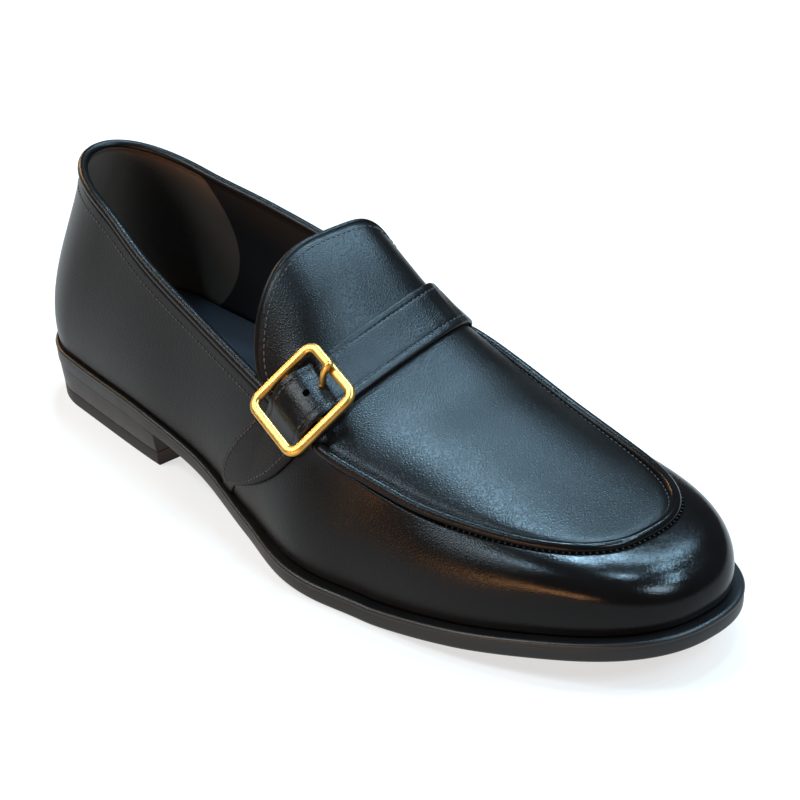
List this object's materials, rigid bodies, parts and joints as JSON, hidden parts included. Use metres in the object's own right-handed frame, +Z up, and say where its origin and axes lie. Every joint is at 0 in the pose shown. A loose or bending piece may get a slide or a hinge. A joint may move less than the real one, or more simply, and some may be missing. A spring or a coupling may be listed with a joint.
{
  "type": "buckle loafer",
  "caption": "Low leather slip-on shoe for the right foot, with a raised apron seam, a strap over the instep and a square buckle on the outer side.",
  "frame": {"origin": "on the floor, in the middle of the shoe's box in plan", "axes": "+X to the toe, +Y to the inner side of the foot, +Z up"},
  "size_m": [0.3004, 0.0996, 0.0885],
  "materials": {
    "black_calf": "fine pebble grain, polished",
    "sole_edge": "waxed satin edge",
    "heel_rubber": "matte",
    "sock_leather": "smooth lining leather",
    "gold_brass": "polished"
  },
  "bodies": {
    "root": {"upper": "black_calf", "strap": "black_calf", "buckle_tab": "black_calf", "buckle_frame": "gold_brass", "buckle_prong": "gold_brass", "outsole": "sole_edge", "heel_stack": "sole_edge", "heel_top_piece": "heel_rubber", "insole": "sock_leather"}
  },
  "joints": []
}
